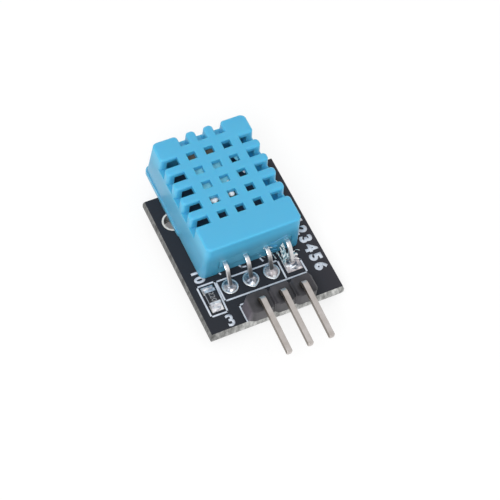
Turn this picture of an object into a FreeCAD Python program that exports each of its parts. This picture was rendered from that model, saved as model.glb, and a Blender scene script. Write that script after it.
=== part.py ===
import FreeCAD, Part
import math
import os
import Sketcher

# Humidity and temperature sensor module: a small black circuit board with a blue grille sensor that
# lies over its back edge, one chip resistor, and a three pin header bent out over the front edge.
# Board coordinates: X along the front edge, Y towards the back, Z up from the black face, with zero at
# the middle of the front edge. Every piece is then set in the part's frame, whose origin lies under
# the middle of the whole module, at the level of the cut wire ends that it stands on.

SIZES = [
    ("board_width", 16.0, "black face, left to right"),
    ("board_length", 18.5, "black face, front to back"),
    ("board_thickness", 1.6, "fibreglass board"),
    ("score_depth", 0.5, "height of each snapped bevel"),
    ("score_inset", 0.15, "how far the broken web stands out past the faces"),
    ("foil", 0.05, "height of a tinned land above the board"),
    ("plating", 0.06, "wall of a plated hole"),
    ("mount_inset", 1.9, "mounting hole from the side edge"),
    ("mount_y", 14.9, "mounting hole from the front edge"),
    ("mount_bore", 2.05, "finished mounting hole"),
    ("mount_land", 2.45, "ring round a mounting hole"),
    ("pitch", 2.54, "header pins and sensor leads"),
    ("tail_length", 1.0, "cut wire ends below the board"),
    ("joint_height", 0.3, "solder above a land"),
    ("joint_drop", 0.65, "solder below the board"),
    ("joint_skirt", 0.62, "radius where the solder turns up towards its wire"),
    ("skirt_height", 0.1, "height of the solder there"),
    ("solder_wall", 0.06, "solder round the corners of a wire"),
    ("lead_x", 0.16, "middle of the four leads"),
    ("lead_y", 4.73, "row of lead holes"),
    ("lead_width", 0.5, "flat lead, across"),
    ("lead_thickness", 0.3, "flat lead, through"),
    ("lead_bore", 0.9, "plated hole of a lead"),
    ("lead_land", 1.8, "land of a lead"),
    ("lead_height", 2.35, "lead above the board where it leaves the sensor"),
    ("lead_bend", 1.0, "upper bend of a lead at its middle line"),
    ("lead_foot", 0.5, "lower bend of a lead at its middle line"),
    ("lead_angle", 32, "degrees that a lead leans back between its bends"),
    ("lead_play", 0.05, "play of the leads in their seal, at each side"),
    ("lead_inside", 1.1, "lead soldered on the inner board"),
    ("header_x", 0.74, "middle pin"),
    ("header_y", 0.85, "row of pins"),
    ("header_depth", 2.5, "header block, front to back"),
    ("header_height", 2.1, "header block above the board"),
    ("header_left", 1.6, "left end of the header block from its pin"),
    ("header_right", 1.4, "right end of the header block from its pin"),
    ("header_corner", 0.42, "cut corners of a header cell"),
    ("header_groove", 0.28, "snapping grooves between the cells"),
    ("pin_width", 0.64, "square pin"),
    ("pin_bend", 0.45, "bend of a pin at its middle line"),
    ("pin_reach", 7.05, "pin tip from the row of pins"),
    ("pin_angle", 4.5, "degrees that a pin falls towards its tip"),
    ("pin_point", 0.12, "bevelled end of a pin"),
    ("pin_bore", 1.1, "plated hole of a pin"),
    ("pin_land", 1.7, "land of a pin"),
    ("sensor_x", -0.23, "middle of the grille"),
    ("sensor_y", 14.53, "middle row of the grille"),
    ("cover_height", 5.95, "sensor above the lands that it rests on"),
    ("cover_base_width", 12.1, "cover at its open side"),
    ("cover_base_front", 7.83, "open side, from the middle row to the front"),
    ("cover_base_back", 7.9, "open side, from the middle row to the back"),
    ("cover_top_width", 11.4, "cover at its face"),
    ("cover_top_front", 8.03, "face, from the middle row to the front"),
    ("cover_top_back", 7.27, "face, from the middle row to the back"),
    ("cover_corner", 0.65, "upright corners of the cover"),
    ("cover_edge", 0.16, "rounded rim of the face"),
    ("cover_wall", 1.15, "side and front walls at the open side"),
    ("cover_back_wall", 2.2, "back wall at the open side"),
    ("cover_face", 1.0, "thickness of the face"),
    ("cavity_corner", 0.4, "inner upright corners of the cover"),
    ("lip_proud", 0.12, "lip round the back half of the open side"),
    ("lip_height", 0.6, "height of the lip"),
    ("lip_front", 2.1, "front end of the lip, from the middle row"),
    ("grille_pitch_x", 2.15, "holes, left to right"),
    ("grille_pitch_y", 2.06, "holes, front to back"),
    ("hole_width", 1.06, "hole, left to right"),
    ("hole_length", 0.98, "hole, front to back"),
    ("slot_depth", 1.75, "side slots and back notches, from the face"),
    ("slot_round", 0.42, "rounded ends of the bars between slots"),
    ("mouth_margin", 0.39, "opening in the front wall, past the outer leads"),
    ("mouth_height", 2.8, "opening in the front wall for the leads"),
    ("fit_gap", 0.05, "play between the cover and what closes it"),
    ("plate_thickness", 0.8, "floor of the back plate"),
    ("tongue_height", 1.25, "front tongue of the back plate"),
    ("tongue_recess", 0.1, "tongue behind the front foot of the cover"),
    ("rib_width", 0.7, "ribs under the inner board"),
    ("seal_recess", 0.16, "lead seal behind the front foot of the cover"),
    ("inner_side_gap", 0.3, "inner board to each side wall"),
    ("inner_back_gap", 0.3, "inner board to the back wall"),
    ("inner_thickness", 0.8, "inner board"),
    ("element_width", 5.0, "humidity element"),
    ("element_length", 5.4, "humidity element"),
    ("element_thickness", 0.6, "humidity element"),
    ("element_y", 1.9, "humidity element behind the middle row"),
    ("element_lift", 0.75, "humidity element above the inner board"),
    ("post_x", 1.08, "element posts from the middle"),
    ("post_radius", 0.28, "element post"),
    ("post_head", 0.5, "radius of the solder on an element post"),
    ("post_rise", 0.3, "height of that solder"),
    ("post_inset", 0.75, "posts behind the front edge of the element"),
    ("chip_width", 4.0, "control chip"),
    ("chip_length", 3.6, "control chip"),
    ("chip_height", 0.9, "control chip"),
    ("chip_y", 3.2, "control chip in front of the middle row"),
    ("thermistor_width", 0.8, "temperature sensor"),
    ("thermistor_length", 1.6, "temperature sensor"),
    ("thermistor_height", 0.5, "temperature sensor"),
    ("thermistor_inset", 1.1, "temperature sensor from the side of the inner board"),
    ("thermistor_y", 3.4, "temperature sensor in front of the middle row"),
    ("resistor_offset", 2.46, "chip resistor to the left of the first lead"),
    ("resistor_y", 4.05, "chip resistor from the front edge"),
    ("resistor_width", 1.25, "chip resistor"),
    ("resistor_length", 2.0, "chip resistor, over its caps"),
    ("resistor_height", 0.5, "chip resistor"),
    ("cap_length", 0.36, "metal cap of the resistor"),
    ("cap_wall", 0.05, "metal cap of the resistor"),
    ("land_width", 1.4, "resistor land"),
    ("land_start", 0.7, "inner end of a resistor land"),
    ("land_end", 1.65, "outer end of a resistor land"),
    ("slope_height", 0.38, "solder slope against a cap"),
    ("slope_hollow", 0.8, "hollow side of that slope"),
]

doc = FreeCAD.newDocument("SensorModule")
sheet = doc.addObject("Spreadsheet::Sheet", "Sizes")
for row, (alias, value, note) in enumerate(SIZES, 1):
    sheet.set(f"A{row}", alias)
    sheet.set(f"B{row}", str(value))
    sheet.set(f"C{row}", note)
    sheet.setAlias(f"B{row}", alias)
doc.recompute()

SUB_PARTS = []


def cells(text):
    """The expression with each size, written [name], read from the sheet."""
    return text.replace("[", "Sizes.").replace("]", "")


def number(text):
    """The present value of an expression."""
    return float(sheet.evalExpression(cells(text)))


# Places that several pieces share. Those of the sensor count from the middle row of its grille, and
# upwards from its seat on the tinned lands.
FRONT_TIP = "([header_y] - [pin_reach])"
BACK_END = "([sensor_y] + [cover_base_back] + [lip_proud])"
MIDDLE = f"(({FRONT_TIP} + {BACK_END}) / 2)"
UNDERSIDE = "(-[board_thickness])"
WIRE_END = "(-[board_thickness] - [tail_length])"
PIN_LEVEL = "([foil] + [header_height] + [pin_bend])"
MOUNT_X = "([board_width] / 2 - [mount_inset])"
FIRST_LEAD = "([lead_x] - 1.5 * [pitch])"
RESISTOR_X = f"({FIRST_LEAD} - [resistor_offset])"
FIRST_PIN = "([header_x] - [pitch])"
LEADS_MIDDLE = "([lead_x] - [sensor_x])"
CAVITY_HALF = "([cover_base_width] / 2 - [cover_wall])"
CAVITY_FRONT = "([cover_base_front] - [cover_wall])"
CAVITY_BACK = "([cover_base_back] - [cover_back_wall])"
INSIDE_FRONT = f"({CAVITY_FRONT} - [fit_gap])"
MOUTH_HALF = "(1.5 * [pitch] + [lead_width] / 2 + [mouth_margin])"
PLUG_HALF = f"({MOUTH_HALF} - [fit_gap])"
LEAD_LEVEL = "([lead_height] - [foil])"
INNER_TOP = f"({LEAD_LEVEL} - [lead_thickness] / 2)"
INNER_BOTTOM = f"({INNER_TOP} - [inner_thickness])"
ELEMENT_BOTTOM = f"({INNER_TOP} + [element_lift])"
INNER_HALF = f"({CAVITY_HALF} - [inner_side_gap])"
INNER_BACK = f"({CAVITY_BACK} - [inner_back_gap])"
POST_Y = "([element_y] - [element_length] / 2 + [post_inset])"


def place(piece, x="0", y="0", z="0"):
    """Sets a sub-part at a point of the board, and moves it into the part's frame."""
    piece.setExpression("Placement.Base.x", cells(x))
    piece.setExpression("Placement.Base.y", cells(f"{y} - {MIDDLE}"))
    piece.setExpression("Placement.Base.z", cells(f"{z} + [board_thickness] + [tail_length]"))
    SUB_PARTS.append(piece)


def place_in_sensor(piece, x="0", y="0", z="0"):
    """Sets a sub-part at a point counted from the middle row of the grille and the sensor's seat."""
    place(piece, f"[sensor_x] + {x}", f"[sensor_y] + {y}", f"[foil] + {z}")


def new_body(label):
    body = doc.addObject("PartDesign::Body", label)
    body.Label = label
    return body


def origin_feature(body, role):
    return next(item for item in body.Origin.OriginFeatures if item.Role == role)


def new_sketch(body, role="XY_Plane", level="0"):
    """A sketch on one of the body's own planes, set off along the plane's normal."""
    sketch = body.newObject("Sketcher::SketchObject", "Sketch")
    sketch.AttachmentSupport = [(origin_feature(body, role), "")]
    sketch.MapMode = "FlatFace"
    sketch.setExpression("AttachmentOffset.Base.z", cells(level))
    return sketch


def hold(sketch, edge, end, x, y):
    """Holds one end of an edge at a point given by two expressions."""
    for kind, text in (("DistanceX", x), ("DistanceY", y)):
        index = sketch.addConstraint(Sketcher.Constraint(kind, -1, 1, edge, end, number(text)))
        sketch.setExpression(f"Constraints[{index}]", cells(text))


def outline(sketch, corners, closed=True):
    """Lines and arcs through corners. A corner is (x, y), or (x, y, radius, turn) after an arc.

    The turn of an arc is 1 to the left and -1 to the right.
    """
    first = sketch.GeometryCount
    spots = [FreeCAD.Vector(number(corner[0]), number(corner[1]), 0) for corner in corners]
    count = len(corners) if closed else len(corners) - 1
    starts = {}
    ends = {}
    for index in range(count):
        edge = first + index
        goal = (index + 1) % len(corners)
        starts[index] = 1
        ends[index] = 2
        if len(corners[goal]) == 2:
            sketch.addGeometry(Part.LineSegment(spots[index], spots[goal]), False)
            continue
        radius, turn = corners[goal][2:]
        chord = spots[goal] - spots[index]
        normal = FreeCAD.Vector(-chord.y, chord.x, 0).normalize() * turn
        rise = math.sqrt(max(number(radius) ** 2 - chord.Length ** 2 / 4, 0.0))
        centre = spots[index] + chord * 0.5 + normal * rise
        sketch.addGeometry(Part.Arc(spots[index], centre - normal * number(radius), spots[goal]), False)
        if turn < 0:
            starts[index] = 2
            ends[index] = 1
        limit = sketch.addConstraint(Sketcher.Constraint("Radius", edge, number(radius)))
        sketch.setExpression(f"Constraints[{limit}]", cells(radius))
    for index in range(count):
        hold(sketch, first + index, starts[index], corners[index][0], corners[index][1])
        after = (index + 1) % len(corners)
        if after in starts:
            joint = (first + index, ends[index], first + after, starts[after])
            sketch.addConstraint(Sketcher.Constraint("Coincident", *joint))
        else:
            hold(sketch, first + index, ends[index], corners[after][0], corners[after][1])
    return sketch


def rectangle(sketch, left, right, front, back):
    return outline(sketch, [(left, front), (right, front), (right, back), (left, back)])


def centred(sketch, width, depth):
    return rectangle(sketch, f"-{width} / 2", f"{width} / 2", f"-{depth} / 2", f"{depth} / 2")


def rounded(sketch, half, front, back, radius):
    """A rectangle with rounded corners, its middle line on the Y axis."""
    return outline(sketch, [
        (f"{radius} - {half}", front, radius, 1),
        (f"{half} - {radius}", front),
        (half, f"{front} + {radius}", radius, 1),
        (half, f"{back} - {radius}"),
        (f"{half} - {radius}", back, radius, 1),
        (f"{radius} - {half}", back),
        (f"-{half}", f"{back} - {radius}", radius, 1),
        (f"-{half}", f"{front} + {radius}"),
    ])


def circle(sketch, x, y, radius):
    centre = FreeCAD.Vector(number(x), number(y), 0)
    edge = sketch.addGeometry(Part.Circle(centre, FreeCAD.Vector(0, 0, 1), number(radius)), False)
    hold(sketch, edge, 3, x, y)
    index = sketch.addConstraint(Sketcher.Constraint("Radius", edge, number(radius)))
    sketch.setExpression(f"Constraints[{index}]", cells(radius))
    return sketch


def pad(body, sketch, length, down=False):
    feature = body.newObject("PartDesign::Pad", "Pad")
    feature.Profile = sketch
    feature.setExpression("Length", cells(length))
    feature.Reversed = down
    return feature


def pocket(body, sketch, length, up=False, both=False):
    """Cuts a sketch out of the body, and makes sure that material went."""
    doc.recompute()
    before = body.Shape.Volume
    feature = body.newObject("PartDesign::Pocket", "Pocket")
    feature.Profile = sketch
    feature.setExpression("Length", cells(length))
    feature.Reversed = up
    feature.Midplane = both
    doc.recompute()
    if not feature.Shape.Volume < before:
        raise RuntimeError(f"{body.Label}: a pocket cuts nothing")
    return feature


def row_of(body, feature, role, span, copies):
    """Repeats a feature along one of the body's axes, evenly over a span."""
    pattern = body.newObject("PartDesign::LinearPattern", "Row")
    pattern.Originals = [feature]
    pattern.Direction = (origin_feature(body, role), [""])
    pattern.setExpression("Length", cells(span))
    pattern.Occurrences = copies
    body.Tip = pattern
    return pattern


def turned(body, sketch):
    """A full turn of a profile about the upright axis."""
    feature = body.newObject("PartDesign::Revolution", "Turned")
    feature.Profile = sketch
    feature.ReferenceAxis = (sketch, ["V_Axis"])
    feature.Angle = 360
    return feature


def swept(body, profile, spine):
    feature = body.newObject("PartDesign::AdditivePipe", "Bent")
    feature.Profile = profile
    feature.Spine = (spine, [])
    return feature


def edges_where(shape, test):
    """The names of the edges whose every corner point passes the test."""
    return [f"Edge{index}" for index, edge in enumerate(shape.Edges, 1)
            if all(test(vertex.Point) for vertex in edge.Vertexes)]


def near(value, goal):
    return abs(value - goal) < 1e-4


# Circuit board

def circuit_board():
    """The board, with the bevels and the broken web that snapping it out of its sheet left."""
    body = new_body("circuit_board")
    half = "([board_width] / 2 + [score_inset])"
    front = "-[score_inset]"
    back = "[board_length] + [score_inset]"
    web_top = "-[score_depth]"
    web_bottom = "[score_depth] - [board_thickness]"
    web = new_sketch(body, level=web_bottom)
    rectangle(web, f"-{half}", half, front, back)
    pad(body, web, "[board_thickness] - 2 * [score_depth]")
    for level, down in ((web_top, False), (web_bottom, True)):
        bevel = new_sketch(body, level=level)
        rectangle(bevel, f"-{half}", half, front, back)
        face = pad(body, bevel, "[score_depth]", down)
        face.setExpression("TaperAngle", cells("-atan([score_inset] / [score_depth])"))
    mounts = new_sketch(body)
    for side in (-1, 1):
        circle(mounts, f"{side} * {MOUNT_X}", "[mount_y]", "[mount_bore] / 2")
    pocket(body, mounts, "[board_thickness]")
    for first, line, bore, copies in (
            (FIRST_LEAD, "[lead_y]", "[lead_bore]", 4),
            (FIRST_PIN, "[header_y]", "[pin_bore]", 3)):
        drilled = circle(new_sketch(body), first, line, f"({bore} / 2 + [plating])")
        hole = pocket(body, drilled, "[board_thickness]")
        row_of(body, hole, "X_Axis", f"{copies - 1} * [pitch]", copies)
    place(body)


def mounting_ring(label, side):
    """The bare tinned ring round a mounting hole, on which the sensor lies."""
    body = new_body(label)
    ring = circle(new_sketch(body), "0", "0", "[mount_land] / 2")
    circle(ring, "0", "0", "[mount_bore] / 2")
    pad(body, ring, "[foil]")
    place(body, f"{side} * {MOUNT_X}", "[mount_y]")


def joint(label, x, y, bore, land, wire_width, wire_depth, top_solder=False, square=False):
    """The metal of one hole: its plating, the land on each face, and the solder that fills it round a wire.

    Below the board the solder is a cone, and above it, where asked, a hollow skirt that turns up at the wire.
    """
    body = new_body(label)
    wall = f"({bore} / 2 + [plating])"
    rim = f"{land} / 2"
    neck = f"(sqrt({wire_width} ^ 2 + {wire_depth} ^ 2) / 2 + [solder_wall])"
    end = f"({UNDERSIDE} - [foil] - [joint_drop])"
    top = "[foil]"
    corners = [
        ("0", end), (neck, end), (rim, f"{UNDERSIDE} - [foil]"), (rim, UNDERSIDE), (wall, UNDERSIDE),
        (wall, "0"), (rim, "0"), (rim, top),
    ]
    if top_solder:
        top = "([foil] + [joint_height])"
        corners += [("[joint_skirt]", "[foil] + [skirt_height]"), (neck, top)]
    corners += [("0", top)]
    turned(body, outline(new_sketch(body, "XZ_Plane"), corners))
    if square:
        for level in ("0", f"{UNDERSIDE} - [foil]"):
            corner_land = centred(new_sketch(body, level=level), land, land)
            circle(corner_land, "0", "0", wall)
            pad(body, corner_land, "[foil]")
    wire = centred(new_sketch(body, level=top), wire_width, wire_depth)
    pocket(body, wire, f"{top} - {end}")
    place(body, x, y)


# Header

def header_housing():
    """Three moulded cells with cut corners, a square hole each, and snapping grooves between them."""
    body = new_body("header_housing")
    depth = "([header_depth] / 2)"
    cut = "[header_corner]"
    half = "[pitch] / 2"
    hole = "[pin_width] / 2"
    for middle, left, right in (("-[pitch]", "[header_left]", half), ("0", half, half),
                                ("[pitch]", half, "[header_right]")):
        cell = outline(new_sketch(body), [
            (f"{middle} - {left} + {cut}", f"-{depth}"), (f"{middle} + {right} - {cut}", f"-{depth}"),
            (f"{middle} + {right}", f"{cut} - {depth}"), (f"{middle} + {right}", f"{depth} - {cut}"),
            (f"{middle} + {right} - {cut}", depth), (f"{middle} - {left} + {cut}", depth),
            (f"{middle} - {left}", f"{depth} - {cut}"), (f"{middle} - {left}", f"{cut} - {depth}"),
        ])
        rectangle(cell, f"{middle} - {hole}", f"{middle} + {hole}", f"-{hole}", hole)
        pad(body, cell, "[header_height]")
    grooves = new_sketch(body, "XZ_Plane")
    for edge in ("-[pitch] - [header_left]", f"-{half}", half, "[pitch] + [header_right]"):
        outline(grooves, [
            (f"{edge} - [header_groove]", "[header_height]"), (edge, "[header_height] - [header_groove]"),
            (f"{edge} + [header_groove]", "[header_height]"),
        ])
    pocket(body, grooves, "2 * [header_depth]", both=True)
    place(body, "[header_x]", "[header_y]", "[foil]")


def header_pin(label, x):
    """A square pin that stands in the board and bends forward just above the block."""
    body = new_body(label)
    profile = centred(new_sketch(body, level=WIRE_END), "[pin_width]", "[pin_width]")
    turn_y = "-[pin_bend] * (1 + sin([pin_angle]))"
    turn_z = f"({PIN_LEVEL} - [pin_bend] * (1 - cos([pin_angle])))"
    fall = f"([pin_reach] + {turn_y}) * tan([pin_angle])"
    spine = outline(new_sketch(body, "YZ_Plane"), [
        ("0", WIRE_END), ("0", f"{PIN_LEVEL} - [pin_bend]"), (turn_y, turn_z, "[pin_bend]", 1),
        ("-[pin_reach]", f"{turn_z} - {fall}"),
    ], closed=False)
    bent = swept(body, profile, spine)
    doc.recompute()
    tip = number("[pin_width] - [pin_reach]")
    point = body.newObject("PartDesign::Chamfer", "Point")
    point.Base = (bent, edges_where(bent.Shape, lambda corner: corner.y < tip))
    point.setExpression("Size", cells("[pin_point]"))
    place(body, x, "[header_y]")


# Sensor

def sensor_cover():
    """The blue moulded cover: drafted walls, a grille of square holes, open slots along both sides and
    notches in the back wall, with rounded bars between them."""
    body = new_body("sensor_cover")
    far = "([cover_base_back] + [cover_wall])"
    front_view = outline(new_sketch(body, "XZ_Plane"), [
        ("-[cover_base_width] / 2", "0"), ("[cover_base_width] / 2", "0"),
        ("[cover_top_width] / 2", "[cover_height]"), ("-[cover_top_width] / 2", "[cover_height]"),
    ])
    block = pad(body, front_view, f"2 * {far}")
    block.Midplane = True
    side_view = outline(new_sketch(body, "YZ_Plane"), [
        (f"-{far}", "0"), ("-[cover_base_front]", "0"), ("-[cover_top_front]", "[cover_height]"),
        (f"-{far}", "[cover_height]"),
    ])
    outline(side_view, [
        ("[cover_base_back]", "0"), (far, "0"), (far, "[cover_height]"), ("[cover_top_back]", "[cover_height]"),
    ])
    ends = pocket(body, side_view, "2 * [cover_base_width]", both=True)
    round_uprights(body, ends, "Corners", "0", "[cover_corner]")

    slots = new_sketch(body, level="[cover_height]")
    line = "-2 * [grille_pitch_y]"
    for side in (-1, 1):
        inner = f"{side} * (2 * [grille_pitch_x] - [hole_width] / 2)"
        outer = f"{side} * ([cover_base_width] / 2 + [cover_wall])"
        left, right = (outer, inner) if side < 0 else (inner, outer)
        rectangle(slots, left, right, f"{line} - [hole_length] / 2", f"{line} + [hole_length] / 2")
    row_of(body, pocket(body, slots, "[slot_depth]"), "Y_Axis", "4 * [grille_pitch_y]", 5)
    notches = new_sketch(body, level="[cover_height]")
    for column in (-1, 0, 1):
        middle = f"{column} * [grille_pitch_x]"
        rectangle(notches, f"{middle} - [hole_width] / 2", f"{middle} + [hole_width] / 2",
                  "3 * [grille_pitch_y] - [hole_length] / 2", far)
    cuts = pocket(body, notches, "[slot_depth]")
    bars = round_uprights(body, cuts, "Bars", "([cover_height] - [slot_depth])", "[slot_round]")
    rim = body.newObject("PartDesign::Chamfer", "Rim")
    rim.Base = (bars, edges_where(bars.Shape, on_rim))
    rim.setExpression("Size", cells("[cover_edge]"))

    lip = new_sketch(body)
    rounded(lip, "([cover_base_width] / 2 + [lip_proud])", "-[lip_front]", "[cover_base_back] + [lip_proud]",
            "([cover_corner] + [lip_proud])")
    pad(body, lip, "[lip_height]")
    cavity = new_sketch(body)
    rounded(cavity, CAVITY_HALF, f"-{CAVITY_FRONT}", CAVITY_BACK, "[cavity_corner]")
    pocket(body, cavity, "[cover_height] - [cover_face]", up=True)
    mouth = new_sketch(body)
    rectangle(mouth, f"{LEADS_MIDDLE} - {MOUTH_HALF}", f"{LEADS_MIDDLE} + {MOUTH_HALF}",
              "-[cover_top_front] - [cover_wall]", f"[lead_inside] + [lead_play] - {INSIDE_FRONT}")
    pocket(body, mouth, "[mouth_height]", up=True)
    holes = new_sketch(body, level="[cover_height]")
    for column in (-1, 0, 1):
        middle = f"{column} * [grille_pitch_x]"
        rectangle(holes, f"{middle} - [hole_width] / 2", f"{middle} + [hole_width] / 2",
                  f"{line} - [hole_length] / 2", f"{line} + [hole_length] / 2")
    row_of(body, pocket(body, holes, "[cover_face]"), "Y_Axis", "4 * [grille_pitch_y]", 5)
    place_in_sensor(body)


def round_uprights(body, before, name, low, radius):
    """Rounds the edges in the cover's outer walls that run from a level up to its face."""
    doc.recompute()
    half = number("[cover_top_width]") / 2 - 1e-4
    back = number("[cover_top_back]") - 1e-4
    bottom, top = number(low), number("[cover_height]")
    chosen = []
    for index, edge in enumerate(before.Shape.Edges, 1):
        levels = sorted(vertex.Z for vertex in edge.Vertexes)
        in_wall = all(abs(vertex.X) > half or vertex.Y > back for vertex in edge.Vertexes)
        if near(levels[0], bottom) and near(levels[-1], top) and in_wall:
            chosen.append(f"Edge{index}")
    fillet = body.newObject("PartDesign::Fillet", name)
    fillet.Base = (before, chosen)
    fillet.setExpression("Radius", cells(radius))
    doc.recompute()
    return fillet


def on_rim(corner):
    """Whether a point lies where the cover's face meets one of its outer walls."""
    if not near(corner.z, number("[cover_height]")):
        return False
    return (near(abs(corner.x), number("[cover_top_width]") / 2)
            or near(corner.y, number("[cover_top_back]")) or near(-corner.y, number("[cover_top_front]")))


def sensor_back_plate():
    """The floor that closes the cover, with a tongue in its front opening and two ribs inside."""
    body = new_body("sensor_back_plate")
    floor = new_sketch(body)
    half = f"({CAVITY_HALF} - [fit_gap])"
    rounded(floor, half, f"-{INSIDE_FRONT}", f"({CAVITY_BACK} - [fit_gap])", "[cavity_corner]")
    pad(body, floor, "[plate_thickness]")
    tongue = new_sketch(body)
    rectangle(tongue, f"{LEADS_MIDDLE} - {PLUG_HALF}", f"{LEADS_MIDDLE} + {PLUG_HALF}",
              "[tongue_recess] - [cover_base_front]", f"[rib_width] - {INSIDE_FRONT}")
    pad(body, tongue, "[tongue_height]")
    ribs = new_sketch(body)
    for side in (-1, 1):
        near_wall = f"{side} * {half}"
        inside = f"{side} * ({half} - [rib_width])"
        left, right = (near_wall, inside) if side < 0 else (inside, near_wall)
        rectangle(ribs, left, right, f"[rib_width] - {INSIDE_FRONT}", INNER_BACK)
    pad(body, ribs, INNER_BOTTOM)
    place_in_sensor(body)


def lead_seal():
    """The resin that closes the front opening round the four leads."""
    body = new_body("lead_seal")
    block = new_sketch(body, level="[tongue_height]")
    rectangle(block, f"-{PLUG_HALF}", PLUG_HALF, "[seal_recess] - [cover_base_front]", f"-{INSIDE_FRONT}")
    pad(body, block, "[mouth_height] - [fit_gap] - [tongue_height]")
    passage = new_sketch(body, "XZ_Plane", "0")
    first = "(-1.5 * [pitch])"
    half = "([lead_width] / 2 + [lead_play])"
    rectangle(passage, f"{first} - {half}", f"{first} + {half}",
              f"{LEAD_LEVEL} - [lead_thickness] / 2", f"{LEAD_LEVEL} + [lead_thickness] / 2")
    hole = pocket(body, passage, "4 * [cover_base_front]", both=True)
    row_of(body, hole, "X_Axis", "3 * [pitch]", 4)
    place_in_sensor(body, LEADS_MIDDLE)


def sensor_lead(label, x):
    """A flat tinned lead: up through the board, leaning back, then level and onto the inner board."""
    body = new_body(label)
    profile = centred(new_sketch(body, level=WIRE_END), "[lead_width]", "[lead_thickness]")
    foot_z = "([foil] + [joint_height])"
    lean_y = "([lead_foot] * (1 - cos([lead_angle])))"
    lean_z = f"({foot_z} + [lead_foot] * sin([lead_angle]))"
    turn_z = "([lead_height] - [lead_bend] * (1 - sin([lead_angle])))"
    turn_y = f"({lean_y} + ({turn_z} - {lean_z}) * tan([lead_angle]))"
    reach = f"([sensor_y] - {INSIDE_FRONT} + [lead_inside] - [lead_y])"
    spine = outline(new_sketch(body, "YZ_Plane"), [
        ("0", WIRE_END), ("0", foot_z), (lean_y, lean_z, "[lead_foot]", -1), (turn_y, turn_z),
        (f"{turn_y} + [lead_bend] * cos([lead_angle])", "[lead_height]", "[lead_bend]", -1),
        (reach, "[lead_height]"),
    ], closed=False)
    swept(body, profile, spine)
    place(body, x, "[lead_y]")


def inner_board():
    body = new_body("inner_board")
    outline_sketch = new_sketch(body, level=INNER_BOTTOM)
    rectangle(outline_sketch, f"-{INNER_HALF}", INNER_HALF, f"-{INSIDE_FRONT}", INNER_BACK)
    pad(body, outline_sketch, "[inner_thickness]")
    place_in_sensor(body)


def humidity_element():
    """The ceramic plate that feels the humidity, with the two holes of its posts."""
    body = new_body("humidity_element")
    plate = centred(new_sketch(body), "[element_width]", "[element_length]")
    for side in (-1, 1):
        circle(plate, f"{side} * [post_x]", "[post_inset] - [element_length] / 2", "[post_radius]")
    pad(body, plate, "[element_thickness]")
    place_in_sensor(body, "0", "[element_y]", ELEMENT_BOTTOM)


def element_post(label, side):
    """A wire that carries the humidity element, with a cone of solder on its end."""
    body = new_body(label)
    head = "([element_lift] + [element_thickness])"
    profile = outline(new_sketch(body, "XZ_Plane"), [
        ("0", "0"), ("[post_radius]", "0"), ("[post_radius]", head), ("[post_head]", head),
        ("0", f"{head} + [post_rise]"),
    ])
    turned(body, profile)
    place_in_sensor(body, f"{side} * [post_x]", POST_Y, INNER_TOP)


def chip(label, width, length, height, x, y):
    """A flat electronic part on the inner board."""
    body = new_body(label)
    pad(body, centred(new_sketch(body), width, length), height)
    place_in_sensor(body, x, y, INNER_TOP)


# Chip resistor

def box(name, width, length, height, y, z):
    """A box centred left to right, with its middle at y and its underside at z."""
    piece = doc.addObject("Part::Box", name)
    piece.setExpression("Length", cells(width))
    piece.setExpression("Width", cells(length))
    piece.setExpression("Height", cells(height))
    piece.setExpression("Placement.Base.x", cells(f"-{width} / 2"))
    piece.setExpression("Placement.Base.y", cells(f"{y} - {length} / 2"))
    piece.setExpression("Placement.Base.z", cells(z))
    return piece


def resistor_core(name):
    """The ceramic inside the caps."""
    return box(name, "([resistor_width] - 2 * [cap_wall])", "([resistor_length] - 2 * [cap_wall])",
               "([resistor_height] - 2 * [cap_wall])", "0", "[cap_wall]")


def chip_resistor():
    coat = box("Coat", "[resistor_width]", "([resistor_length] - 2 * [cap_length])",
               "([resistor_height] - [cap_wall])", "0", "[cap_wall]")
    body = doc.addObject("Part::MultiFuse", "resistor_body")
    body.Label = "resistor_body"
    body.Shapes = [resistor_core("Core"), coat]
    body.Refine = True
    place(body, RESISTOR_X, "[resistor_y]", "[foil]")
    for place_in_row, side in ((1, -1), (2, 1)):
        shell = box("CapShell", "[resistor_width]", "[cap_length]", "[resistor_height]",
                    f"({side} * ([resistor_length] - [cap_length]) / 2)", "0")
        cap = doc.addObject("Part::Cut", f"resistor_cap_{place_in_row}")
        cap.Label = f"resistor_cap_{place_in_row}"
        cap.Base = shell
        cap.Tool = resistor_core("CapCore")
        place(cap, RESISTOR_X, "[resistor_y]", "[foil]")


def resistor_land(label, side):
    land = box(label, "[land_width]", "([land_end] - [land_start])", "[foil]", "0", "0")
    land.Label = label
    land.setExpression("Placement.Base.x", None)
    land.setExpression("Placement.Base.y", None)
    land.setExpression("Placement.Base.z", None)
    place(land, f"{RESISTOR_X} - [land_width] / 2",
          f"[resistor_y] + {side} * ([land_start] + [land_end]) / 2 - ([land_end] - [land_start]) / 2", "0")


def resistor_solder(label, side):
    """A hollow slope of solder between a cap and its land."""
    body = new_body(label)
    cap_end = f"{side} * [resistor_length] / 2"
    land_end = f"{side} * [land_end]"
    slope = outline(new_sketch(body, "YZ_Plane"), [
        (cap_end, "0"), (land_end, "0"), (cap_end, "[slope_height]", "[slope_hollow]", -side),
    ])
    wedge = pad(body, slope, "[resistor_width]")
    wedge.Midplane = True
    place(body, RESISTOR_X, "[resistor_y]", "[foil]")


# The whole module

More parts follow.
